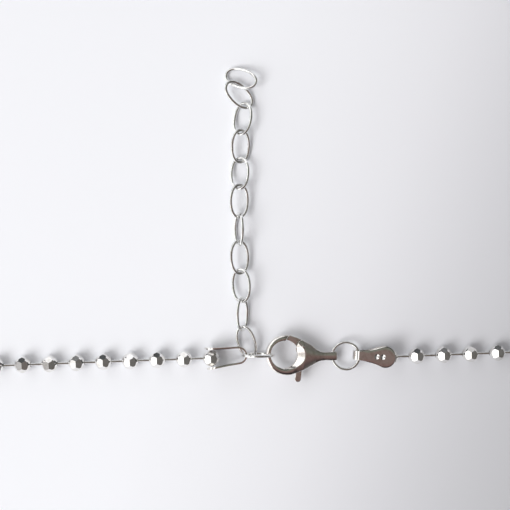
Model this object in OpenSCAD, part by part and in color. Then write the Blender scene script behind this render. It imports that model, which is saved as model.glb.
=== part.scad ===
// Bead chain necklace with a lobster clasp and an extender, lying on a table.
// Millimetres, +Z up, with the table at Z = 0. The chain runs roughly along X and the extender along +Y.

/* [Bead chain] */
// Number of beads, the two held by the end connectors included
bead_count = 79; // [70:1:100]
// Distance from bead to bead along the chain
bead_pitch = 4.7; // [4.5:0.05:5.2]
// Radius of a bead over its corners
bead_r = 1.5; // [1.4:0.05:1.6]
// Radius of the rod that joins two beads
rod_r = 0.25; // [0.2:0.01:0.27]
// Radius of the heads that keep the rod in the beads
rod_head_r = 0.6; // [0.58:0.01:0.62]
// Angle of the chain's two straight runs to X
chain_tilt = 2.1; // [0:0.1:4]
// Straight run of the chain beside the left connector
left_run = 37.5; // [30:0.5:45]
// Straight run of the chain beside the right connector
right_run = 24; // [15:0.5:35]

/* [End connectors] */
// Length from the held bead's centre to the outside of the fold
connector_len = 6.5; // [6:0.1:7]
// Thickness of the folded strip
strip_t = 0.3; // [0.25:0.01:0.35]
// Outer radius of the fold
fold_r = 1.45; // [1.3:0.05:1.6]
// Half of the strip's width at the fold
neck_half = 0.78; // [0.7:0.02:1]
// Radius of the strip's wide round end
leaf_r = 1.85; // [1.7:0.05:2]
// Half of the space that the two leaves take up at their ends
leaf_spread = 1.87; // [1.8:0.01:1.9]

/* [Rings] */
// Wire diameter of both jump rings
ring_wire = 0.5; // [0.4:0.05:0.6]
// Centreline radius of the upright ring that the clasp closes on
closing_ring_r = 2.65; // [2.6:0.01:2.7]
// Centreline radius of the flat ring behind the clasp
clasp_ring_r = 2.35; // [2.3:0.01:2.4]

/* [Clasp] */
// Radius of the round front of the clasp
hook_r = 3.5; // [3.4:0.05:3.6]
// Radius of the hole inside the hook
hook_hole_r = 2.35; // [2.3:0.05:2.4]
// Length from the middle of the round front to the end of the tail
tail_len = 8.95; // [8.7:0.05:9.5]
// Radius of the hole through the tail
eye_r = 0.44; // [0.42:0.01:0.46]
// Radius of the lever's rivet
pin_r = 0.3; // [0.25:0.01:0.32]
// Thickness of the lever inside the clasp's slot
lever_t = 0.8; // [0.7:0.05:0.85]
// Angle that the lever is pressed open
lever_open = 0; // [0:1:16]

/* [Extender] */
// Length of a link outside
link_len = 6.1; // [6:0.05:6.2]
// Width of a link outside
link_w = 3.6; // [3.5:0.05:3.7]
// Wire diameter of a link
link_wire = 0.45; // [0.4:0.01:0.46]

/* [Hidden] */
$fn = 64;
silver = [0.86, 0.86, 0.87];

// Places in the layout, whose X = 0, Y = 0 is the middle of the stretch round the clasp
left_bead = [-7.66, -17.95];
right_bead = [23.5, -17.75];
closing_ring_at = [0.58, -17.35];
clasp_at = [5.36, -17.37, 2.2];
clasp_ring_at = [15.83, -17.6, 1.41];

// How far the pieces round the clasp lean, pitch and turn from the level
closing_ring_lean = 2;
clasp_pitch = 7.4;
clasp_ring_rise = 6.6;
left_connector_turn = [0, -7, 5];
right_connector_turn = [0, 0, 176.8];

// A bead has eight facets round it, in four bands; it lies on the flat of its widest corner ring
bead_sides = 8;
bead_phase = 180 / bead_sides;
bead_z = bead_r * cos(bead_phase);
bead_shoulder = [0.7 * bead_r, 0.713 * bead_r];
bead_end = [0.933 * bead_r, 0.36 * bead_r];
bead_wall = 0.3;
held_z = leaf_spread;
lift_beads = 3;

// The loop: two straight runs beside the clasp, two half circles and a long straight run between them
between = [right_bead.x - left_bead.x, right_bead.y - left_bead.y];
gap_along = between.x * cos(chain_tilt) + between.y * sin(chain_tilt);
gap_across = between.y * cos(chain_tilt) - between.x * sin(chain_tilt);
loop_len = (bead_count - 1) * bead_pitch;
straights = 2 * left_run + 2 * right_run + gap_along;
left_arc_r = ((loop_len - straights) / PI - gap_across) / 2;
right_arc_r = left_arc_r + gap_across / 2;
left_arc_len = PI * left_arc_r;
right_arc_len = PI * right_arc_r;
far_run = left_run + gap_along + right_run;

// A point of the loop at the distance s from the left held bead: [along, across, heading]
function loop_point(s) =
    s < left_run ? [-s, 0, 180] :
    s < left_run + left_arc_len ? left_arc_point((s - left_run) / left_arc_r * 180 / PI) :
    s < left_run + left_arc_len + far_run ?
        [s - 2 * left_run - left_arc_len, -2 * left_arc_r, 360] :
    s < left_run + left_arc_len + far_run + right_arc_len ?
        right_arc_point((s - left_run - left_arc_len - far_run) / right_arc_r * 180 / PI) :
    [gap_along + loop_len - s, gap_across, 540];

function left_arc_point(a) =
    [-left_run - left_arc_r * sin(a), left_arc_r * (cos(a) - 1), 180 + a];

function right_arc_point(a) =
    [gap_along + right_run + right_arc_r * sin(a), gap_across - right_arc_r * (1 + cos(a)), 360 + a];

function turned(p) = [
    left_bead.x + p.x * cos(chain_tilt) - p.y * sin(chain_tilt),
    left_bead.y + p.x * sin(chain_tilt) + p.y * cos(chain_tilt)
];

// The beads next to a connector are lifted step by step to the height of the held bead
function bead_height(i) =
    bead_z + (held_z - bead_z) * max(0, 1 - min(i, bead_count - 1 - i) / lift_beads);

function bead_at(i) =
    let (p = turned(loop_point(i * bead_pitch)))
    [p.x, p.y, bead_height(i)];

function bead_heading(i) = loop_point(i * bead_pitch).z + chain_tilt;

// The origin is moved under the middle of the whole necklace
left_end = turned([-left_run, -left_arc_r]).x - left_arc_r - bead_r;
right_end = turned([gap_along + right_run, gap_across - right_arc_r]).x + right_arc_r + bead_r;
low_end = turned([-left_run, -left_arc_r]).y - left_arc_r - bead_r;
high_end = 32.85;
middle = [(left_end + right_end) / 2, (low_end + high_end) / 2, 0];

// Where the extender's links hang in each other, from the closing ring outwards
link_joints = [
    [-0.8, -17.6, 0.7],
    [-2.2, -12.8, 1.4],
    [-2.2, -7.8, 1.8],
    [-2.6, -2.8, 1.4],
    [-2.8, 2, 1.7],
    [-2.8, 6.9, 1.7],
    [-2.7, 11.9, 1.9],
    [-2.6, 16.6, 0.7],
    [-2.5, 21.4, 1.5],
    [-1.8, 26.2, 0.7]
];

// The last two links lie slack across the others: near end and far end of each
slack_links = [
    [[-1.1, 26.4, 0.5], [-4.5, 29.6, 1.5]],
    [[-4.7, 31.6, 0.4], [-0.2, 30.1, 1.8]]
];

// How far each link rolls about its long side, with the right side up
link_rolls = [22, -58, 22, -22, 65, -22, 22, -22, 25, -11, 4];

function link_ends(n) =
    n < len(link_joints) ? [link_joints[n - 1], link_joints[n]] : slack_links[n - len(link_joints)];

module placed() {
    translate(-middle)
        children();
}

// One bead along X: outside profile, then the cavity back to the first hole
module bead() {
    hole = bead_end.y;
    rotate([bead_phase, 0, 0])
        rotate([0, 90, 0])
            rotate_extrude($fn = bead_sides)
                polygon([
                    [hole, -bead_end.x],
                    [bead_shoulder.y, -bead_shoulder.x],
                    [bead_r, 0],
                    [bead_shoulder.y, bead_shoulder.x],
                    [hole, bead_end.x],
                    [hole, bead_end.x - 0.2],
                    [bead_r - bead_wall, 0],
                    [hole, 0.2 - bead_end.x]
                ]);
}

module bead_string() {
    color(silver)
        placed()
            for (i = [0 : bead_count - 1])
                translate(bead_at(i))
                    rotate([0, 0, bead_heading(i)])
                        bead();
}

// A rod of the length between two bead centres, along X from the first one
module bead_rod(span) {
    head_in = 0.4;
    head_t = 0.25;
    rotate([0, 90, 0])
        rotate_extrude($fn = 24)
            polygon([
                [0, head_in],
                [rod_head_r, head_in],
                [rod_head_r, head_in + head_t],
                [rod_r, head_in + head_t],
                [rod_r, span - head_in - head_t],
                [rod_head_r, span - head_in - head_t],
                [rod_head_r, span - head_in],
                [0, span - head_in]
            ]);
}

module bead_rods() {
    color(silver)
        placed()
            for (i = [0 : bead_count - 2]) {
                start = bead_at(i);
                step = bead_at(i + 1) - start;
                translate(start)
                    rotate([0, -asin(step.z / norm(step)), atan2(step.y, step.x)])
                        bead_rod(norm(step));
            }
}

// A flat slice of the height h, with its middle on Z = 0
module slab(h) {
    translate([0, 0, -h / 2])
        linear_extrude(h)
            children();
}

// The folded strip seen on its edge in XY, filled: open ends at X = -end_out, fold on +X
module strip_side(spread, r) {
    end_out = leaf_r - leaf_x;
    fold_x = connector_len - fold_r;
    width = 2 * leaf_r + 2;
    translate([fold_x, 0, 0])
        cylinder(h = width, r = r, center = true);
    slab(width)
        polygon([[fold_x, r], [-end_out, spread], [-end_out, -spread], [fold_x, -r]]);
}

// The pear-shaped leaf seen flat on, as a thick plate
leaf_x = 0.95;

module leaf_plate() {
    thick = 2 * leaf_spread + 2;
    waist = (leaf_r + neck_half) / 2 + 0.09;
    translate([leaf_x, 0, 0])
        cylinder(h = thick, r = leaf_r, center = true);
    slab(thick)
        polygon([
            [leaf_x, 0],
            [leaf_x + 0.55, 0.955 * leaf_r],
            [leaf_x + 1.7, waist],
            [connector_len - 2, neck_half + 0.07],
            [connector_len - 1.2, neck_half],
            [connector_len + 0.1, neck_half],
            [connector_len + 0.1, -neck_half],
            [connector_len - 1.2, -neck_half],
            [connector_len - 2, -neck_half - 0.07],
            [leaf_x + 1.7, -waist],
            [leaf_x + 0.55, -0.955 * leaf_r]
        ]);
}

// End connector with its held bead at the origin, its fold on +X and its leaves above each other
module end_connector() {
    seat_r = bead_r + 0.12;
    difference() {
        intersection() {
            leaf_plate();
            rotate([90, 0, 0])
                strip_side(leaf_spread, fold_r);
        }
        rotate([90, 0, 0])
            translate([-0.01, 0, 0])
                strip_side(leaf_spread - strip_t, fold_r - strip_t);
        sphere(r = seat_r);
    }
}

module left_end_connector() {
    color(silver)
        placed()
            translate([left_bead.x, left_bead.y, held_z])
                rotate(left_connector_turn)
                    rotate([90, 0, 0])
                        end_connector();
}

module right_end_connector() {
    color(silver)
        placed()
            translate([right_bead.x, right_bead.y, held_z])
                rotate(right_connector_turn)
                    end_connector();
}

module wire_ring(r, wire) {
    rotate_extrude($fn = 96)
        translate([r, 0])
            circle(d = wire, $fn = 24);
}

module closing_ring() {
    color(silver)
        placed()
            translate([closing_ring_at.x, closing_ring_at.y, closing_ring_r + ring_wire / 2])
                rotate([90 + closing_ring_lean, 0, 0])
                    wire_ring(closing_ring_r, ring_wire);
}

module clasp_jump_ring() {
    color(silver)
        placed()
            translate(clasp_ring_at)
                rotate([0, -clasp_ring_rise, 0])
                    wire_ring(clasp_ring_r, ring_wire);
}

// The clasp's own frame: middle of the round front at the origin, tail on +X, flat sides up and down
pivot = [3, 1.45, 0];
hole_at = [-0.4, 0.1, 0];
ear_r = 1.2;
mouth_r = 3.32;
gate_r = 3.2;
gate_root_r = 1.32;
slot_w = 1;
tail_y = -0.23;
tail_half = 0.76;
eye_x = tail_len - 0.7;
half_height = 1.3;

module clasp_frame() {
    translate(clasp_at)
        rotate([0, clasp_pitch, 0])
            children();
}

// Round front, shoulders and tail, seen from above, as a thick plate
module clasp_plate() {
    thick = 4;
    cylinder(h = thick, r = hook_r, center = true);
    slab(thick)
        polygon([
            [0, 2],
            [0.6, 3.448],
            [1.7, 3.1],
            [2.9, 2.62],
            [4.3, 1.85],
            [5.2, 1.1],
            [5.9, tail_y + tail_half + 0.1],
            [6.6, tail_y + tail_half],
            [tail_len, tail_y + tail_half],
            [tail_len, tail_y - tail_half],
            [6.6, tail_y - tail_half],
            [5.8, tail_y - tail_half - 0.12],
            [4.6, -1.75],
            [3.1, -2.6],
            [1.3, -3.25],
            [0.6, -2]
        ]);
}

// The opening between the tip of the hook and the ear round the rivet, closed by the gate
module clasp_mouth() {
    difference() {
        intersection() {
            translate(pivot)
                cylinder(h = 5, r = mouth_r, center = true);
            slab(5)
                polygon([[-1.5, 1.2], [-1.5, 4.6], [3.05, 4.6], [3.05, 1.45], [1.6, 0.9]]);
        }
        translate(pivot)
            cylinder(h = 6, r = ear_r, center = true);
    }
}

// The inside of the hook's tip, which gets thinner towards its end
module tip_taper() {
    taper_r = 2.62;
    translate([0.3, 0.35, 0])
        intersection() {
            cylinder(h = 5, r = taper_r, center = true);
            slab(5)
                translate([-2.6, 1.2])
                    square([2.6, 2]);
        }
}

// The clasp seen from the side: thin at the hook, thick at the rivet, thin again at the tail
module clasp_side() {
    rotate([90, 0, 0])
        slab(10)
            polygon([
                [-3.6, 0.72],
                [-2, 0.95],
                [1.5, half_height],
                [4.2, half_height],
                [6, 0.86],
                [tail_len + 0.1, 0.8],
                [tail_len + 0.1, -0.8],
                [6, -0.86],
                [4.2, -half_height],
                [1.5, -half_height],
                [-2, -0.95],
                [-3.6, -0.72]
            ]);
}

module lever_slot() {
    translate(pivot)
        cylinder(h = slot_w, r = 0.95, center = true);
    slab(slot_w)
        polygon([
            [3.05, 3.3],
            [1.1, 3.3],
            [1.1, 0.55],
            [2.2, 0.55],
            [2.15, -0.5],
            [1.7, -2.2],
            [1.35, -3.9],
            [4.6, -3.9],
            [4.2, -2.1],
            [4, 0],
            [3.95, 1.45],
            [3.05, 1.45]
        ]);
}

// The sloping rim of the hook's hole, cut from the upper and the lower side
module hole_bevels() {
    from = 0.35;
    depth = 1.4;
    for (side = [0, 1])
        mirror([0, 0, side])
            translate([hole_at.x, hole_at.y, from])
                cylinder(h = depth, r1 = hook_hole_r - 0.02, r2 = hook_hole_r + 1.1);
}

module clasp_body() {
    color(silver)
        placed()
            clasp_frame()
                difference() {
                    intersection() {
                        clasp_plate();
                        clasp_side();
                    }
                    translate(hole_at)
                        cylinder(h = 5, r = hook_hole_r, center = true);
                    tip_taper();
                    clasp_mouth();
                    hole_bevels();
                    lever_slot();
                    translate(pivot)
                        cylinder(h = 4, r = pin_r + 0.02, center = true);
                    translate([eye_x, tail_y, 0])
                        rotate([90, 0, 0])
                            cylinder(h = 3, r = eye_r, center = true);
                }
}

// The gate's arm from the rivet to its tip, in a given thickness
module gate_arm(thick) {
    difference() {
        intersection() {
            translate(pivot)
                cylinder(h = thick, r = gate_r, center = true);
            slab(thick + 1)
                polygon([
                    [-0.3, 1.6],
                    [-0.3, 3.6],
                    [0.6, 3.448],
                    [1.7, 3.1],
                    [2.75, 2.62],
                    [2.9, 2.3],
                    [3.2, 2.1],
                    [3.3, 1.45],
                    [2.2, 1.2],
                    [1.9, 1.2]
                ]);
        }
        translate(hole_at)
            cylinder(h = thick + 2, r = hook_hole_r + 0.2, center = true);
    }
}

// The lever is thin where it runs in the slot, and its gate is as thick as the hook's tip
module clasp_lever() {
    gate_t = 1.6;
    tab_r = 0.55;
    color(silver)
        placed()
            clasp_frame()
                translate(pivot)
                    rotate([0, 0, lever_open])
                        translate(-pivot)
                            difference() {
                                union() {
                                    gate_arm(lever_t);
                                    difference() {
                                        gate_arm(gate_t);
                                        translate(pivot)
                                            cylinder(h = 4, r = gate_root_r, center = true);
                                    }
                                    translate(pivot)
                                        cylinder(h = lever_t, r = 0.8, center = true);
                                    slab(lever_t)
                                        polygon([
                                            [2.4, 1.2],
                                            [2.32, -0.5],
                                            [1.9, -2.2],
                                            [1.52, -4.2],
                                            [2.62, -4.2],
                                            [2.85, -2.2],
                                            [3.2, -0.5],
                                            [3.7, 1.2]
                                        ]);
                                    translate([2.07, -4.2, 0])
                                        cylinder(h = lever_t, r = tab_r, center = true);
                                }
                                translate(pivot)
                                    cylinder(h = 2, r = pin_r + 0.04, center = true);
                            }
}

module lever_pin() {
    color(silver)
        placed()
            clasp_frame()
                translate(pivot)
                    cylinder(h = 2 * half_height, r = pin_r, center = true);
}

// One oval link as a swept tube, lying in XY with its long side on X
link_steps = 24;
wire_sides = 6;
oval_power = 2 / 2.25;
link_half = [(link_len - link_wire) / 2, (link_w - link_wire) / 2];

function rounded(v, power) = sign(v) * pow(abs(v), power);

function oval_point(i) =
    let (a = 360 * i / link_steps)
    [link_half.x * rounded(cos(a), oval_power), link_half.y * rounded(sin(a), oval_power), 0];

function oval_out(i) =
    let (along = oval_point(i + 1) - oval_point(i - 1))
    [along.y, -along.x, 0] / norm(along);

module oval_link() {
    rings = [
        for (i = [0 : link_steps - 1])
            for (k = [0 : wire_sides - 1])
                let (b = 360 * (k + 0.5) / wire_sides)
                oval_point(i) + link_wire / 2 * (cos(b) * oval_out(i) + sin(b) * [0, 0, 1])
    ];
    walls = [
        for (i = [0 : link_steps - 1])
            for (k = [0 : wire_sides - 1])
                let (j = (i + 1) % link_steps, m = (k + 1) % wire_sides)
                [
                    i * wire_sides + k,
                    i * wire_sides + m,
                    j * wire_sides + m,
                    j * wire_sides + k
                ]
    ];
    polyhedron(points = rings, faces = walls);
}

module extender_link(n) {
    ends = link_ends(n);
    along = ends[1] - ends[0];
    heading = atan2(along.y, along.x);
    slope = asin(along.z / norm(along));
    color(silver)
        placed()
            translate((ends[0] + ends[1]) / 2)
                rotate([-link_rolls[n - 1], -slope, heading])
                    oval_link();
}

bead_string();
bead_rods();
left_end_connector();
right_end_connector();
closing_ring();
clasp_jump_ring();
clasp_body();
clasp_lever();
lever_pin();
extender_link(1);  // extender_link_01
extender_link(2);  // extender_link_02
extender_link(3);  // extender_link_03
extender_link(4);  // extender_link_04
extender_link(5);  // extender_link_05
extender_link(6);  // extender_link_06
extender_link(7);  // extender_link_07
extender_link(8);  // extender_link_08
extender_link(9);  // extender_link_09
extender_link(10);  // extender_link_10
extender_link(11);  // extender_link_11
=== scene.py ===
import math
import random

import bmesh
import bpy
from mathutils import Matrix, Vector


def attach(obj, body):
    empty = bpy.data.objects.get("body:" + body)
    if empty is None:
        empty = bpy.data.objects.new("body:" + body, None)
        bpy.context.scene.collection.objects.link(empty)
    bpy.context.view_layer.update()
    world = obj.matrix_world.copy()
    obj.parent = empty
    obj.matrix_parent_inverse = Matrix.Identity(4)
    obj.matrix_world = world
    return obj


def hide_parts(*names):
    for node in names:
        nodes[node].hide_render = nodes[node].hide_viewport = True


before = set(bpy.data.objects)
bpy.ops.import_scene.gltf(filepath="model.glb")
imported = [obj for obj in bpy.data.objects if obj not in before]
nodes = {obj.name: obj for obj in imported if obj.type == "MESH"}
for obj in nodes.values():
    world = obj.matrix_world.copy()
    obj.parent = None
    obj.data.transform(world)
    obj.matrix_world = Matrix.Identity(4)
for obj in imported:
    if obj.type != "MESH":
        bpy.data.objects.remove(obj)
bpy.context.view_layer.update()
bpy.ops.object.select_all(action="DESELECT")


# The table. A white laminated board that fills the whole view. Daylight comes in from the left,
# so the board is almost white there and falls off to a light grey on the right. This fall-off is
# painted light, put into the board's colour by place on the board.

def linear(hex_colour):
    """The linear colour of an sRGB hex value such as "F4F2EE"."""
    parts = [int(hex_colour[i:i + 2], 16) / 255 for i in (0, 2, 4)]
    return [p / 12.92 if p <= 0.04045 else ((p + 0.055) / 1.055) ** 2.4 for p in parts] + [1]


def add_node(tree, kind, sockets=None, **settings):
    """Adds a shader node; a socket's value is a constant or another node's output."""
    node = tree.nodes.new(kind)
    for name, value in settings.items():
        setattr(node, name, value)
    for name, value in (sockets or {}).items():
        if isinstance(value, bpy.types.NodeSocket):
            tree.links.new(value, node.inputs[name])
        else:
            node.inputs[name].default_value = value
    return node


def new_material(name):
    material = bpy.data.materials.new(name)
    material.use_nodes = True
    tree = material.node_tree
    tree.nodes.clear()
    return material, tree


# The board's painted light: its tone from the window side, 0, to the far side, 1, darkening as the daylight
# falls off
PAINTED_LIGHT_TONES = [(0, "F3F5FA"), (0.08, "F3F5FA"), (0.25, "E9EAEF"), (0.38, "D4D5DA"), (0.52, "BEBFC3"),
               (0.7, "BCBDC1"), (1, "BEBFC2")]

bpy.ops.mesh.primitive_plane_add(size=8, location=(0, 0, 0))
table = bpy.context.object
table.name = "table"

# White melamine laminate pressed on chipboard: matt, so it shows soft shadows and no mirror image.
# The board's core shows through as the faintest waves, 25 mm across, 40 to the metre.
laminate, tree = new_material("white laminate")
place = add_node(tree, "ShaderNodeTexCoord")
across = add_node(tree, "ShaderNodeSeparateXYZ", {0: place.outputs["Object"]})
slant = add_node(tree, "ShaderNodeMath", {
    0: across.outputs["Y"], 1: -0.35, 2: across.outputs["X"]}, operation="MULTIPLY_ADD")
from_window = add_node(tree, "ShaderNodeMapRange", {
    "Value": slant.outputs[0], "From Min": -0.03, "From Max": 0.12})
# Painted light: this ramp darkens the board's base colour away from the window, as a painted fall-off of the
# daylight, adding to what the lamps give
falloff = add_node(tree, "ShaderNodeValToRGB", {"Fac": from_window.outputs[0]})
painted_light_ramp = falloff.color_ramp
painted_light_ramp.interpolation = "B_SPLINE"
painted_light_ramp.elements[0].color = linear(PAINTED_LIGHT_TONES[0][1])
painted_light_ramp.elements[1].color = linear(PAINTED_LIGHT_TONES[-1][1])
for distance, painted_tone in PAINTED_LIGHT_TONES[1:-1]:
    painted_light_ramp.elements.new(distance).color = linear(painted_tone)
waves = add_node(tree, "ShaderNodeTexNoise", {
    "Vector": place.outputs["Object"], "Scale": 40, "Detail": 3})
wavy = add_node(tree, "ShaderNodeBump", {"Strength": 0.02, "Distance": 0.0001, "Height": waves.outputs[0]})
face = add_node(tree, "ShaderNodeBsdfPrincipled", {
    "Base Color": falloff.outputs["Color"], "Roughness": 0.6, "Specular IOR Level": 0.25,
    "Normal": wavy.outputs[0]})
add_node(tree, "ShaderNodeOutputMaterial", {"Surface": face.outputs[0]})
table.data.materials.append(laminate)


# The camera. It looks straight down from 26 cm with a long lens, and takes in 89 mm of the table
# round the clasp and the extender.

# The middle of the view, in millimetres, is the zero of the layout that all pieces are measured in
VIEW_MIDDLE = Vector((-2.18671, 28.2596, 0))
CAMERA_HEIGHT = 0.26
SENSOR_WIDTH = 36
LENS = 104.6

bpy.ops.object.camera_add(location=(VIEW_MIDDLE.x / 1000, VIEW_MIDDLE.y / 1000, CAMERA_HEIGHT),
                          rotation=(0, 0, 0))
camera = bpy.context.object
camera.data.sensor_width = SENSOR_WIDTH
camera.data.lens = LENS
camera.data.clip_start = 0.01
bpy.context.scene.camera = camera


# The room, as the polished silver mirrors it. Pale walls all round and a dark ceiling overhead, a
# little to the right, give each piece its dark middle and white edges. Two soft lamps at the lower
# left light the table, and are kept out of the reflections.

world = bpy.data.worlds.new("room")
bpy.context.scene.world = world
world.use_nodes = True
tree = world.node_tree
tree.nodes.clear()
way = add_node(tree, "ShaderNodeTexCoord")
direction = add_node(tree, "ShaderNodeSeparateXYZ", {0: way.outputs["Generated"]})
along, up_view, height = direction.outputs

# How near a direction lies to the ceiling: it leans to the right and away from the top wall
to_right = add_node(tree, "ShaderNodeMath", {0: along, 1: 0.6, 2: height}, operation="MULTIPLY_ADD")
to_bottom = add_node(tree, "ShaderNodeMath", {0: up_view, 1: -0.18, 2: to_right.outputs[0]},
                     operation="MULTIPLY_ADD")
widened = add_node(tree, "ShaderNodeMath", {0: up_view, 1: up_view}, operation="MULTIPLY")
ceiling = add_node(tree, "ShaderNodeMath", {0: widened.outputs[0], 1: 0.07, 2: to_bottom.outputs[0]},
                   operation="MULTIPLY_ADD")
to_pane = add_node(tree, "ShaderNodeVectorMath", {0: way.outputs["Generated"], 1: (-0.60, -0.36, 0.715)},
                   operation="DOT_PRODUCT")

# Each part of the room starts where its direction passes the first value and is full at the second
EDGES = {
    "ceiling": (ceiling.outputs[0], 0.51, 0.59),
    "zenith": (height, 0.70, 0.93),
    "north": (up_view, -0.16, 0.16),
    "right": (along, -0.6, 0.8),
    "far right": (along, 0.50, 0.60),
    "pane": (to_pane.outputs["Value"], 0.955, 0.985),
    "left": (along, -0.60, -0.72),
    "over the table": (height, 0.36, 0.46),
    "top wall": (up_view, 0.42, 0.52),
    "low": (height, 0.42, 0.32),
    "left of the corner": (along, 0.3, 0.1)}
parts = {}
for name, (value, start, full) in EDGES.items():
    parts[name] = add_node(tree, "ShaderNodeMapRange", {"Value": value, "From Min": start, "From Max": full},
                           interpolation_type="SMOOTHSTEP").outputs[0]
# The shaded corner and the doorway are where two or three of these parts overlap
OVERLAPS = [
    ("shaded corner", "left", "over the table"),
    ("doorway", "top wall", "low"),
    ("doorway", "doorway", "left of the corner")]
for name, first, second in OVERLAPS:
    parts[name] = add_node(tree, "ShaderNodeMath", {0: parts[first], 1: parts[second]},
                           operation="MULTIPLY").outputs[0]

# What is painted, the part of the room that the second colour fills, and the two colours
PAINT = [
    ("wall", "right", "FFFFFF", "E4E4EA"),
    ("wall", "shaded corner", "wall", "8A8888"),
    ("wall", "doorway", "wall", "4C4E50"),
    ("dark", "north", "342E2F", "303230"),
    ("dark", "far right", "dark", "666462"),
    ("middle", "north", "76625F", "74756D"),
    ("cap", "zenith", "dark", "middle"),
    ("sky", "ceiling", "wall", "cap"),
    ("sky", "pane", "sky", "FFFFFF")]
painted = {}
for name, part, first, second in PAINT:
    first, second = (painted[colour] if colour in painted else linear(colour) for colour in (first, second))
    painted[name] = add_node(tree, "ShaderNodeMix", {"Factor": parts[part], 6: first, 7: second},
                             data_type="RGBA").outputs[2]
window_glow = add_node(tree, "ShaderNodeMapRange", {
    "Value": along, "From Min": -0.55, "From Max": -0.30, "To Min": 1.75, "To Max": 1.15})
room = add_node(tree, "ShaderNodeBackground", {"Color": painted["sky"], "Strength": window_glow.outputs[0]})
add_node(tree, "ShaderNodeOutputWorld", {"Surface": room.outputs[0]})

# Each lamp's name, its place and width in metres, its power in watts and its tint
LAMPS = [("lamp", (-0.69, -0.41, 0.83), 0.8, 8.5, (1, 0.99, 0.98)),
         ("fill", (-0.35, -0.1, 1.1), 1.5, 2.5, (1, 1, 1))]
for name, place, width, power, tint in LAMPS:
    bpy.ops.object.light_add(type="AREA", location=place)
    lamp = bpy.context.object
    lamp.name = name
    lamp.data.shape = "DISK"
    lamp.data.size = width
    lamp.data.energy = power
    lamp.data.color = tint
    lamp.visible_glossy = False
    lamp.rotation_euler = Vector(place).to_track_quat("Z", "Y").to_euler()

bpy.context.scene.view_settings.view_transform = "Standard"


# The beads. Hollow balls of sterling silver, 3 mm across, cut with a diamond tool into flat
# facets in staggered rows, with a round hole at each end. They are strung 4.7 mm apart.

BEAD_COUNT = 79
BEAD_PITCH = 4.7
BEAD_R = 1.5
BEAD_HALF_LENGTH = 1.4
BEAD_INSIDE_R = 1.12
BEAD_HOLE_R = 0.44
# How high a bead's middle is on the table. The two beads in the connectors are held higher, and
# over this many beads from each the chain sinks to the table.
BEAD_Z = BEAD_R * math.cos(math.pi / 8)
HELD_Z = 1.87
LIFTED_BEADS = 3
# The places of the two held beads, the slant of the chain and its straight run beside each of them
LEFT_BEAD = Vector((-7.66, -17.95))
RIGHT_BEAD = Vector((23.5, -17.75))
CHAIN_TILT = math.radians(2.1)
LEFT_RUN = 37.5
RIGHT_RUN = 24
# How far each bead has rolled on its rod, and by how much that may vary either way
BEAD_ROLL = math.radians(-6.5)
ROLL_SPREAD = 0.11

# The loop: a straight run beside each connector, two half circles and a long straight far side
between = RIGHT_BEAD - LEFT_BEAD
gap_along = between.x * math.cos(CHAIN_TILT) + between.y * math.sin(CHAIN_TILT)
gap_across = between.y * math.cos(CHAIN_TILT) - between.x * math.sin(CHAIN_TILT)
loop_length = (BEAD_COUNT - 1) * BEAD_PITCH
straights = 2 * LEFT_RUN + 2 * RIGHT_RUN + gap_along
left_arc = ((loop_length - straights) / math.pi - gap_across) / 2
right_arc = left_arc + gap_across / 2
far_run = LEFT_RUN + gap_along + RIGHT_RUN


def loop_point(s):
    """A point of the loop at the distance s from the left held bead, and the chain's heading there."""
    if s < LEFT_RUN:
        along, across, heading = -s, 0, math.pi
    elif s < LEFT_RUN + math.pi * left_arc:
        a = (s - LEFT_RUN) / left_arc
        along = -LEFT_RUN - left_arc * math.sin(a)
        across, heading = left_arc * (math.cos(a) - 1), math.pi + a
    elif s < LEFT_RUN + math.pi * left_arc + far_run:
        along, across, heading = s - 2 * LEFT_RUN - math.pi * left_arc, -2 * left_arc, 0
    elif s < LEFT_RUN + math.pi * left_arc + far_run + math.pi * right_arc:
        a = (s - LEFT_RUN - math.pi * left_arc - far_run) / right_arc
        along = gap_along + RIGHT_RUN + right_arc * math.sin(a)
        across, heading = gap_across - right_arc * (1 + math.cos(a)), a
    else:
        along, across, heading = gap_along + loop_length - s, gap_across, math.pi
    x = LEFT_BEAD.x + along * math.cos(CHAIN_TILT) - across * math.sin(CHAIN_TILT)
    y = LEFT_BEAD.y + along * math.sin(CHAIN_TILT) + across * math.cos(CHAIN_TILT)
    return x, y, heading + CHAIN_TILT


def bead_height(i):
    lift = max(0, 1 - min(i, BEAD_COUNT - 1 - i) / LIFTED_BEADS)
    return BEAD_Z + (HELD_Z - BEAD_Z) * lift


# Each piece is modelled in millimetres in the layout, and is then set down in the necklace's frame
# in metres, with its place in its mesh
SET_DOWN = Matrix.Scale(0.001, 4) @ Matrix.Translation(VIEW_MIDDLE)


def set_down(piece, place=Matrix.Identity(4)):
    piece.data.transform(SET_DOWN @ place)
    piece.data.update()


def finish_piece(piece, name, body, material, replaced):
    piece.name = name
    piece.data.name = name
    piece.data.materials.clear()
    piece.data.materials.append(material)
    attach(piece, body)
    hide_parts(*replaced)


def only(piece):
    """Makes this piece the only one that is selected, and the active one."""
    bpy.ops.object.select_all(action="DESELECT")
    piece.select_set(True)
    bpy.context.view_layer.objects.active = piece


def combine(piece, tool, operation):
    """Cuts, joins or crosses a piece with a tool, and puts the tool away."""
    only(piece)
    step = piece.modifiers.new("step", "BOOLEAN")
    step.operation = operation
    step.object = tool
    step.solver = "EXACT"
    bpy.ops.object.modifier_apply(modifier="step")
    bpy.data.objects.remove(tool)
    return piece


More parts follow.
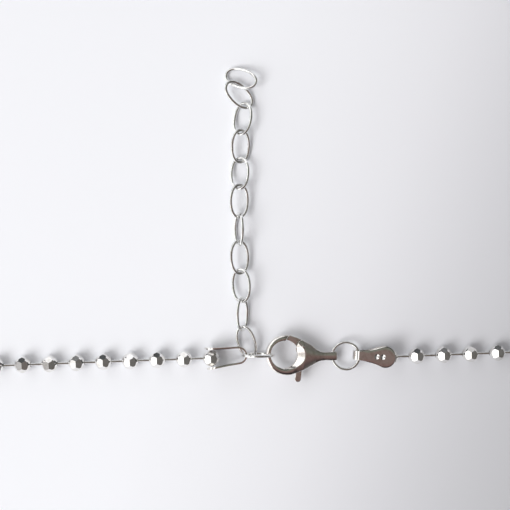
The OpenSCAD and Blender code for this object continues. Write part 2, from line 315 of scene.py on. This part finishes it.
# A cut is a row of facets round the bead: their number, the first one's place, their tilt towards
# the bead's end and the cutter's distance from the middle
BEAD_CUTS = [(4, 0, 23, 1.285), (4, 0, -23, 1.285), (4, 45, 0, 1.375),
             (8, 22.5, 56, 1.395), (8, 22.5, -56, 1.395)]
bpy.ops.mesh.primitive_uv_sphere_add(segments=36, ring_count=18, radius=BEAD_R)
bead = bpy.context.object
bpy.ops.object.mode_set(mode="EDIT")
for number, first, tilt, distance in BEAD_CUTS:
    for k in range(number):
        place = math.radians(first + 360 / number * k)
        flat = Vector((math.cos(math.radians(tilt)) * math.cos(place),
                       math.cos(math.radians(tilt)) * math.sin(place), math.sin(math.radians(tilt))))
        bpy.ops.mesh.select_all(action="SELECT")
        bpy.ops.mesh.bisect(plane_co=flat * distance, plane_no=flat, use_fill=True, clear_outer=True)
for side in (1, -1):
    bpy.ops.mesh.select_all(action="SELECT")
    bpy.ops.mesh.bisect(plane_co=(0, 0, side * BEAD_HALF_LENGTH), plane_no=(0, 0, side), use_fill=True,
                        clear_outer=True)
bpy.ops.object.mode_set(mode="OBJECT")
bpy.ops.mesh.primitive_uv_sphere_add(segments=12, ring_count=8, radius=BEAD_INSIDE_R)
combine(bead, bpy.context.object, "DIFFERENCE")
bpy.ops.mesh.primitive_cylinder_add(vertices=16, radius=BEAD_HOLE_R, depth=4)
combine(bead, bpy.context.object, "DIFFERENCE")
only(bead)
bpy.ops.object.shade_smooth_by_angle(angle=math.radians(13))

random.seed(7)
strung = []
for i in range(BEAD_COUNT):
    copy = bpy.data.objects.new("bead", bead.data.copy())
    bpy.context.collection.objects.link(copy)
    x, y, heading = loop_point(i * BEAD_PITCH)
    roll = BEAD_ROLL + random.uniform(-ROLL_SPREAD, ROLL_SPREAD)
    set_down(copy, Matrix.Translation((x, y, bead_height(i))) @ Matrix.Rotation(heading, 4, "Z")
             @ Matrix.Rotation(roll, 4, "X") @ Matrix.Rotation(-math.pi / 2, 4, "Y"))
    strung.append(copy)
bpy.data.objects.remove(bead)
bpy.ops.object.select_all(action="DESELECT")
for copy in strung:
    copy.select_set(True)
bpy.context.view_layer.objects.active = strung[0]
bpy.ops.object.join()
beads = bpy.context.object


def polished_silver(name, tint, dull, roughness, scratch_depth):
    """Sterling silver polished on a buff: fine wheel marks and a faint film that dulls it in spots."""
    material, tree = new_material(name)
    place = add_node(tree, "ShaderNodeTexCoord")
    # The film lies in spots about 1.1 mm across, 900 to the metre, and makes the silver up to 1.8
    # times as rough
    film = add_node(tree, "ShaderNodeTexNoise", {
        "Vector": place.outputs["Object"], "Scale": 900, "Detail": 4, "Roughness": 0.6})
    spots = add_node(tree, "ShaderNodeMapRange", {
        "Value": film.outputs[0], "From Min": 0.45, "From Max": 0.75})
    colour = add_node(tree, "ShaderNodeMix", {
        "Factor": spots.outputs[0], 6: linear(tint), 7: linear(dull)}, data_type="RGBA")
    rough = add_node(tree, "ShaderNodeMapRange", {
        "Value": film.outputs[0], "From Min": 0.3, "From Max": 0.8,
        "To Min": roughness, "To Max": roughness * 1.8})
    # The wheel marks are 0.04 mm wide and 0.33 mm long and run across the view. Real ones are about a
    # thousandth of a millimetre wide, and are drawn this coarse so that they show at all.
    stretched = add_node(tree, "ShaderNodeMapping", {
        "Vector": place.outputs["Object"], "Rotation": (0.2, 0.3, 0.6), "Scale": (3000, 26000, 3000)})
    wheel = add_node(tree, "ShaderNodeTexNoise", {
        "Vector": stretched.outputs[0], "Scale": 1, "Detail": 2})
    marks = add_node(tree, "ShaderNodeBump", {
        "Strength": scratch_depth, "Distance": 0.00002, "Height": wheel.outputs[0]})
    metal = add_node(tree, "ShaderNodeBsdfPrincipled", {
        "Base Color": colour.outputs[2], "Metallic": 1, "Roughness": rough.outputs[0],
        "Normal": marks.outputs[0]})
    add_node(tree, "ShaderNodeOutputMaterial", {"Surface": metal.outputs[0]})
    return material


# The diamond leaves each facet as flat and bright as a mirror, so it shows one clean tone, with
# hardly a mark
cut_silver = polished_silver("diamond-cut silver", "F7F6F4", "E2DFDA", 0.04, 0.03)
finish_piece(beads, "faceted_beads", "necklace", cut_silver, ["bead_string"])


# The rods between the beads. Drawn silver wire, 0.5 mm thick, upset to a head at each end
# inside the beads, so that the beads can turn and the chain can bend.

# The die leaves drawn wire smooth and a touch greyer than the cut beads, with fine lines
drawn_silver = polished_silver("drawn silver wire", "F2F2F0", "D6D6D4", 0.04, 0.06)
nodes["bead_rods"].data.materials.clear()
nodes["bead_rods"].data.materials.append(drawn_silver)


# The end connectors. A strip of silver sheet, 0.3 mm thick, punched out with a round leaf at each end
# and folded over in the middle, so that the two leaves grip the chain's last bead.

CONNECTOR_LENGTH = 6.5
STRIP_THICKNESS = 0.32
LEAF_END = -0.9
# Half of the strip's width at a distance from the held bead, towards the fold
LEAF_OUTLINE = [(LEAF_END, 0.02), (-0.8, 0.62), (-0.55, 1.08), (-0.1, 1.52), (0.4, 1.77), (0.95, 1.85),
                (1.5, 1.77), (2.0, 1.6), (2.65, 1.36), (3.6, 1.08), (4.5, 0.86), (5.3, 0.78), (6.6, 0.78)]
# The leaf is dished along a rim of this width. The dish ends at this distance from the bead, and
# fades over the last part of it.
RIM_WIDTH = 0.45
DISH_END = 4.6
DISH_FADE = 1.2
# The two dents' distances from the bead, and how high the leaf's face is there. The punch is a cone,
# whose middle goes this far under the face.
DENTS = [(1.4, 1.708), (2.45, 1.634)]
PUNCH_R = 0.554
PUNCH_HEIGHT = 0.32
PUNCH_SUNK = 0.1


def outward(piece):
    """Merges doubles and turns all faces outwards, with the piece still in millimetres."""
    only(piece)
    bpy.ops.object.mode_set(mode="EDIT")
    bpy.ops.mesh.select_all(action="SELECT")
    bpy.ops.mesh.remove_doubles(threshold=0.0005)
    bpy.ops.mesh.normals_make_consistent(inside=False)
    bpy.ops.object.mode_set(mode="OBJECT")


def value_along(x, table):
    """The value at x in a table of places and values, with straight lines between them."""
    for (x0, v0), (x1, v1) in zip(table, table[1:]):
        if x <= x1:
            t = max(0, (x - x0) / (x1 - x0))
            return v0 + (v1 - v0) * t
    return table[-1][1]


def strip_path(steps, spread, fold_r):
    """The strip's outer face from the lower leaf's end round the fold to the upper leaf's end."""
    fold_x = CONNECTOR_LENGTH - fold_r
    lower = []
    for k in range(steps):
        t = k / steps
        lower.append((LEAF_END + (fold_x - LEAF_END) * t, -(spread + (fold_r - spread) * t)))
    fold = []
    for k in range(17):
        a = -math.pi / 2 + math.pi * k / 16
        fold.append((fold_x + fold_r * math.cos(a), fold_r * math.sin(a)))
    return lower + fold + [(x, -z) for x, z in reversed(lower)]


def folded_strip(spread, fold_r, dish):
    """The folded connector: half the space its leaves span, its fold's radius and the dish's depth."""
    path = strip_path(34, spread, fold_r)
    bpy.ops.mesh.primitive_grid_add(x_subdivisions=len(path) - 1, y_subdivisions=16, size=1)
    strip = bpy.context.object
    for corner in strip.data.vertices:
        step = round((corner.co.x + 0.5) * (len(path) - 1))
        side = corner.co.y * 2
        x, z = path[step]
        half = value_along(x, LEAF_OUTLINE)
        rim = max(0, abs(side) * half - (half - RIM_WIDTH)) / RIM_WIDTH
        on_leaf = max(0, min(1, (DISH_END - x) / DISH_FADE))
        sink = dish * rim ** 2 * on_leaf * (1 if z > 0 else -1)
        corner.co = (x, side * half, z - sink)
    outward(strip)
    sheet = strip.modifiers.new("sheet", "SOLIDIFY")
    sheet.thickness = STRIP_THICKNESS
    sheet.offset = -1
    sheet.use_even_offset = True
    bpy.ops.object.modifier_apply(modifier="sheet")
    rounding = strip.modifiers.new("deburred edges", "BEVEL")
    rounding.width = 0.025
    rounding.segments = 2
    rounding.limit_method = "ANGLE"
    rounding.angle_limit = math.radians(50)
    bpy.ops.object.modifier_apply(modifier="deburred edges")
    bpy.ops.object.shade_smooth_by_angle(angle=math.radians(35))
    return strip


# Rolled sheet buffed by hand is a little softer and warmer than the cut beads, and shows more marks
sheet_silver = polished_silver("polished silver sheet", "F4F2EF", "DAD5CF", 0.07, 0.1)

left_connector = folded_strip(1.98, 1.53, 0.04)
set_down(left_connector, Matrix.Translation((LEFT_BEAD.x, LEFT_BEAD.y, HELD_Z))
         @ Matrix.Rotation(math.radians(6.5), 4, "Z") @ Matrix.Rotation(math.radians(-7), 4, "Y")
         @ Matrix.Rotation(math.pi / 2, 4, "X"))
finish_piece(left_connector, "upright_connector", "necklace", sheet_silver,
             ["left_end_connector"])

right_connector = folded_strip(1.87, 1.45, 0.1)
for dent_x, face_z in DENTS:
    bpy.ops.mesh.primitive_cone_add(vertices=24, radius1=0, radius2=PUNCH_R, depth=PUNCH_HEIGHT,
                                    location=(dent_x, 0, face_z - PUNCH_SUNK))
    dent = bpy.context.object
    bpy.ops.object.transform_apply(location=True)
    combine(right_connector, dent, "DIFFERENCE")
set_down(right_connector, Matrix.Translation((RIGHT_BEAD.x, RIGHT_BEAD.y, HELD_Z))
         @ Matrix.Rotation(math.radians(176.8), 4, "Z"))
finish_piece(right_connector, "flat_connector", "necklace", sheet_silver,
             ["right_end_connector"])


# The jump rings. Round silver wire, 0.5 mm thick, wound on a rod, sawn off and bent shut, so each
# has a fine butt joint. The larger stands upright in the clasp's hook, the other lies at its tail.

# A little over the wire's 0.5 mm, to match the width of the rings in the photograph
RING_WIRE = 0.56
RING_TURN = math.radians(358.6)


def jump_ring(radius, joint_at):
    """A ring of this radius to the middle of its wire, with its butt joint turned to this angle."""
    bpy.ops.mesh.primitive_circle_add(
        vertices=16, radius=RING_WIRE / 2, fill_type="NGON", location=(radius, 0, 0),
        rotation=(math.pi / 2, 0, 0))
    ring = bpy.context.object
    bpy.ops.object.mode_set(mode="EDIT")
    bpy.ops.mesh.select_all(action="SELECT")
    bpy.ops.mesh.spin(steps=96, angle=RING_TURN, center=(0, 0, 0), axis=(0, 0, 1))
    bpy.ops.object.mode_set(mode="OBJECT")
    bpy.ops.object.transform_apply(location=True, rotation=True, scale=True)
    outward(ring)
    bpy.ops.object.shade_smooth_by_angle(angle=math.radians(40))
    ring.data.transform(Matrix.Rotation(joint_at, 4, "Z"))
    return ring


closing_ring = jump_ring(2.65, math.radians(70))
set_down(closing_ring, Matrix.Translation((0.58, -17.35, 2.9)) @ Matrix.Rotation(math.radians(92), 4, "X"))
finish_piece(closing_ring, "upright_ring", "necklace", drawn_silver, ["closing_ring"])

tail_ring = jump_ring(2.35, math.radians(-60))
set_down(tail_ring, Matrix.Translation((15.83, -17.6, 1.41)) @ Matrix.Rotation(math.radians(-6.6), 4, "Y"))
finish_piece(tail_ring, "flat_ring", "necklace", drawn_silver, ["clasp_jump_ring"])


# The extender. Eleven oval links of silver wire, 6.1 mm long, bent round a flat mandrel and soldered
# shut, each hanging in the one before it. The last two lie slack across each other.

LINK_LENGTH = 6.1
LINK_WIDTH = 3.6
LINK_WIRE = 0.45
# The wire is this much thicker all round, to match the width of the links in the photograph
LINK_EXTRA = 0.05
LINK_FULLNESS = 0.6
# Where the links hang in each other, from the closing ring outwards
LINK_JOINTS = [
    (-0.8, -17.6, 0.7), (-2.2, -12.8, 1.4), (-2.2, -7.8, 1.8), (-2.6, -2.8, 1.4), (-2.8, 2, 1.7),
    (-2.8, 6.9, 1.7), (-2.7, 11.9, 1.9), (-2.6, 16.6, 0.7), (-2.5, 21.4, 1.5), (-1.8, 26.2, 0.7)]
# The near end and the far end of each of the last two
SLACK_LINKS = [
    ((-1.1, 26.4, 0.5), (-4.5, 29.6, 1.5)),
    ((-4.7, 31.6, 0.4), (-0.2, 30.1, 1.8))]
# How far each link is rolled about its length, in degrees, with its right side up where positive
LINK_ROLLS = [22, -58, 22, -22, 65, -22, 22, -22, 25, -11, 4]

ends = list(zip(LINK_JOINTS, LINK_JOINTS[1:])) + SLACK_LINKS
for n, ((near, far), roll) in enumerate(zip(ends, LINK_ROLLS), 1):
    bpy.ops.curve.primitive_bezier_circle_add(radius=1)
    link = bpy.context.object
    half = Vector(((LINK_LENGTH - LINK_WIRE) / 2, (LINK_WIDTH - LINK_WIRE) / 2, 0))
    for quarter, point in enumerate(link.data.splines[0].bezier_points):
        c, s = math.cos(quarter * math.pi / 2), math.sin(quarter * math.pi / 2)
        point.handle_left_type = point.handle_right_type = "FREE"
        point.co = (half.x * c, half.y * s, 0)
        for name, way_round in (("handle_left", -LINK_FULLNESS), ("handle_right", LINK_FULLNESS)):
            setattr(point, name, (half.x * (c - way_round * s), half.y * (s + way_round * c), 0))
    link.data.resolution_u = 16
    link.data.bevel_depth = LINK_WIRE / 2 + LINK_EXTRA
    link.data.bevel_resolution = 3
    bpy.ops.object.convert(target="MESH")
    link = bpy.context.object
    outward(link)
    bpy.ops.object.shade_smooth()
    along = Vector(far) - Vector(near)
    slope = math.asin(along.z / along.length)
    set_down(link, Matrix.Translation((Vector(near) + Vector(far)) / 2)
             @ Matrix.Rotation(math.atan2(along.y, along.x), 4, "Z") @ Matrix.Rotation(-slope, 4, "Y")
             @ Matrix.Rotation(math.radians(-roll), 4, "X"))
    finish_piece(link, f"oval_link_{n:02d}", "necklace", drawn_silver, [f"extender_link_{n:02d}"])


# The clasp's body. A lobster claw, 12 mm long, cast in silver and tumbled smooth: a round hook
# that runs into a swelling body with a slot through it, and a flat tail with an eye.

# The claw lies flat in its own frame, with the hook's middle at zero and the tail towards +X
CLASP_PLACE = Matrix.Translation((5.36, -17.37, 2.2)) @ Matrix.Rotation(math.radians(7.4), 4, "Y")
HOOK_R = 3.5
HOLE = Vector((-0.4, 0.1, 0))
HOLE_R = 2.35
PIVOT = Vector((3, 1.45, 0))
RIVET_HOLE_R = 0.32
EYE = Vector((8.25, -0.23, 0))
EYE_R = 0.44

UPPER_EDGE = [(0.3, 3.46), (0.9, 3.38), (1.7, 3.1), (2.9, 2.55), (4.1, 1.9), (5.1, 1.16), (5.9, 0.67),
              (6.6, 0.53), (7.6, 0.53), (8.6, 0.53), (8.95, 0.48)]
LOWER_EDGE = [(8.95, -0.94), (8.6, -0.99), (7.6, -0.99), (6.7, -0.99), (5.8, -1.13), (4.7, -1.68),
              (3.1, -2.55), (1.9, -3.03), (0.9, -3.38), (0.3, -3.46)]
# Along the claw: half its height, half its width, and how much of the height its edges lose
HALF_HEIGHT = [(-3.6, 0.80), (-1.5, 1.0), (1.2, 1.32), (3, 1.32), (6.6, 0.93), (9, 0.82)]
HALF_WIDTH = [(0.6, 3.5), (3, 2.6), (5.2, 1.2), (6.6, 0.76), (9, 0.76)]
ROUND_OVER = [(3, 0.24), (6, 0.15)]
# The line down the middle of the body, and where its rounding takes over from the hook's
MIDDLE_LINE = [(0, 0), (6, -0.23)]
BODY_SHARE = [(-0.4, 0), (2, 1)]
# The share of that rounding at the hook's outer and inner rim, by the distance from its middle
OUTER_RIM = [(2.75, 0), (3.5, 1)]
INNER_RIM = [(2.35, 0.9), (2.85, 0)]
# The gate's mouth in the hook: the ring that its tip sweeps round the pivot, within this sector
MOUTH_R = 3.32
MOUTH_INNER_R = 1.2
MOUTH_SECTOR = [(-1.5, 1.2), (1.6, 0.9), (3.05, 1.45), (3.05, 4.6), (-1.5, 4.6)]
LEVER_SLOT = [(3.05, 3.3), (1.1, 3.3), (1.1, 0.55), (2.2, 0.55), (2.15, -0.5), (1.7, -2.2), (1.35, -3.9),
              (4.6, -3.9), (4.2, -2.1), (4, 0), (3.95, 1.45), (3.05, 1.45)]
# The hollow beside the hole, on both faces: its depth and middle, and how far its top leans towards
# the body and widens. It is a hair narrower than the hole, so that their walls don't coincide.
HOLLOW_R = HOLE_R - 0.01
HOLLOW_DEPTH = 1.28
HOLLOW_Z = 1.3
HOLLOW_LEAN = 2.9
HOLLOW_WIDENING = 1.08


def prism(outline, height):
    """A closed block with this outline, from -height / 2 to height / 2."""
    bpy.ops.mesh.primitive_circle_add(vertices=len(outline), radius=1, fill_type="NGON")
    block = bpy.context.object
    for corner, (x, y) in zip(block.data.vertices, outline):
        corner.co = (x, y, -height / 2)
    bpy.ops.object.mode_set(mode="EDIT")
    bpy.ops.mesh.select_all(action="SELECT")
    bpy.ops.mesh.extrude_region_move(TRANSFORM_OT_translate={"value": (0, 0, height)})
    bpy.ops.object.mode_set(mode="OBJECT")
    outward(block)
    return block


def drum(radius, height, place):
    bpy.ops.mesh.primitive_cylinder_add(vertices=96, radius=radius, depth=height, location=place)
    block = bpy.context.object
    bpy.ops.object.transform_apply(location=True, rotation=True, scale=True)
    return block


def curve_through(points, steps=6):
    """A smooth line through these points."""
    line = []
    last = len(points) - 1
    for k in range(last):
        p0, p1, p2, p3 = (Vector(points[min(max(j, 0), last)]) for j in (k - 1, k, k + 1, k + 2))
        for i in range(steps):
            t = i / steps
            line.append(tuple(0.5 * (2 * p1 + (p2 - p0) * t + (2 * p0 - 5 * p1 + 4 * p2 - p3) * t ** 2
                                     + (3 * p1 - p0 - 3 * p2 + p3) * t ** 3)))
    return line + [points[-1]]


def tumble(piece, grit, passes):
    """Joins a piece into one casting skin and wears its edges round, as steel shot does."""
    only(piece)
    cast = piece.modifiers.new("cast skin", "REMESH")
    cast.mode = "VOXEL"
    cast.voxel_size = grit
    bpy.ops.object.modifier_apply(modifier="cast skin")
    tumbled = piece.modifiers.new("tumbled smooth", "SMOOTH")
    tumbled.factor = 0.5
    tumbled.iterations = passes
    bpy.ops.object.modifier_apply(modifier="tumbled smooth")


plan = prism(curve_through(UPPER_EDGE) + curve_through(LOWER_EDGE), 2)
round_front = drum(HOOK_R, 2, (0, 0, 0))
only(plan)
round_front.select_set(True)
bpy.ops.object.join()
claw = bpy.context.object
whole = claw.modifiers.new("one casting", "REMESH")
whole.mode = "VOXEL"
whole.voxel_size = 0.09
bpy.ops.object.modifier_apply(modifier="one casting")
# The block is 1 mm high each way, so Z times the half height is the height. The hook is rounded
# over at its outer and inner rim, and the body from side to side.
for corner in claw.data.vertices:
    x, y, z = corner.co
    reach = math.hypot(x, y)
    rim = max(value_along(reach, OUTER_RIM), value_along(reach, INNER_RIM))
    side = min(1, abs(y - value_along(x, MIDDLE_LINE)) / value_along(x, HALF_WIDTH))
    on_body = value_along(x, BODY_SHARE)
    crown = 1 - value_along(x, ROUND_OVER) * ((1 - on_body) * rim ** 2 + on_body * side ** 2)
    corner.co.z = z * value_along(x, HALF_HEIGHT) * crown

combine(claw, drum(HOLE_R, 5, HOLE), "DIFFERENCE")
for side in (1, -1):
    hollow = drum(HOLLOW_R, HOLLOW_DEPTH, (HOLE.x, HOLE.y, HOLLOW_Z))
    for corner in hollow.data.vertices:
        if corner.co.z > HOLLOW_Z:
            corner.co.x += HOLLOW_LEAN
            corner.co.y = HOLE.y + (corner.co.y - HOLE.y) * HOLLOW_WIDENING
        corner.co.z *= side
    outward(hollow)
    combine(claw, hollow, "DIFFERENCE")

mouth = drum(MOUTH_R, 5, PIVOT)
combine(mouth, prism(MOUTH_SECTOR, 5), "INTERSECT")
combine(mouth, drum(MOUTH_INNER_R, 6, PIVOT), "DIFFERENCE")
combine(claw, mouth, "DIFFERENCE")
combine(claw, prism(LEVER_SLOT, 1), "DIFFERENCE")
bpy.ops.mesh.primitive_cylinder_add(vertices=48, radius=EYE_R, depth=3, rotation=(math.pi / 2, 0, 0))
eye = bpy.context.object
bpy.ops.object.transform_apply(location=True, rotation=True)
eye.data.transform(Matrix.Translation(EYE))
combine(claw, eye, "DIFFERENCE")

tumble(claw, 0.055, 14)
combine(claw, drum(RIVET_HOLE_R, 4, PIVOT), "DIFFERENCE")
only(claw)
bpy.ops.object.shade_smooth_by_angle(angle=math.radians(40))

# Cast silver tumbled in steel shot is bright but never quite flat: the softest and warmest of the
# four finishes, with light marks
cast_silver = polished_silver("tumbled cast silver", "F4F1ED", "D9D3CB", 0.08, 0.08)
set_down(claw, CLASP_PLACE)
finish_piece(claw, "lobster_claw", "necklace", cast_silver, ["clasp_body"])


# The lever. The gate that shuts the hook's mouth and the thumb tab below the body are one silver
# casting, which turns on the rivet and is pushed shut by a spring inside the slot.

lever = bpy.data.objects.new("lever", nodes["clasp_lever"].data.copy())
bpy.context.collection.objects.link(lever)
lever.data.transform((SET_DOWN @ CLASP_PLACE).inverted())
outward(lever)
tumble(lever, 0.05, 8)
bpy.ops.object.shade_smooth()
set_down(lever, CLASP_PLACE)
finish_piece(lever, "gate_and_thumb_tab", "lever", cast_silver, ["clasp_lever"])


# The rivet. A silver pin through both cheeks of the body and the lever between them, filed almost
# flush and slightly domed at both ends.

RIVET_R = 0.3
RIVET_LENGTH = 2.6
DOME_STEP = 0.1
DOME_RISES = (0.05, 0.02)

bpy.ops.mesh.primitive_cylinder_add(vertices=32, radius=RIVET_R, depth=RIVET_LENGTH, location=(0, 0, 0))
rivet = bpy.context.object
bpy.ops.object.mode_set(mode="EDIT")
for side in (1, -1):
    bpy.ops.mesh.select_all(action="DESELECT")
    mesh = bmesh.from_edit_mesh(rivet.data)
    for end in mesh.faces:
        if end.normal.z * side > 0.9:
            end.select_set(True)
    bmesh.update_edit_mesh(rivet.data)
    for rise in DOME_RISES:
        bpy.ops.mesh.inset(thickness=DOME_STEP)
        bpy.ops.transform.translate(value=(0, 0, side * rise))
bpy.ops.object.mode_set(mode="OBJECT")
bpy.ops.object.shade_smooth_by_angle(angle=math.radians(40))
set_down(rivet, CLASP_PLACE @ Matrix.Translation(PIVOT))
finish_piece(rivet, "domed_rivet", "necklace", cast_silver, ["lever_pin"])
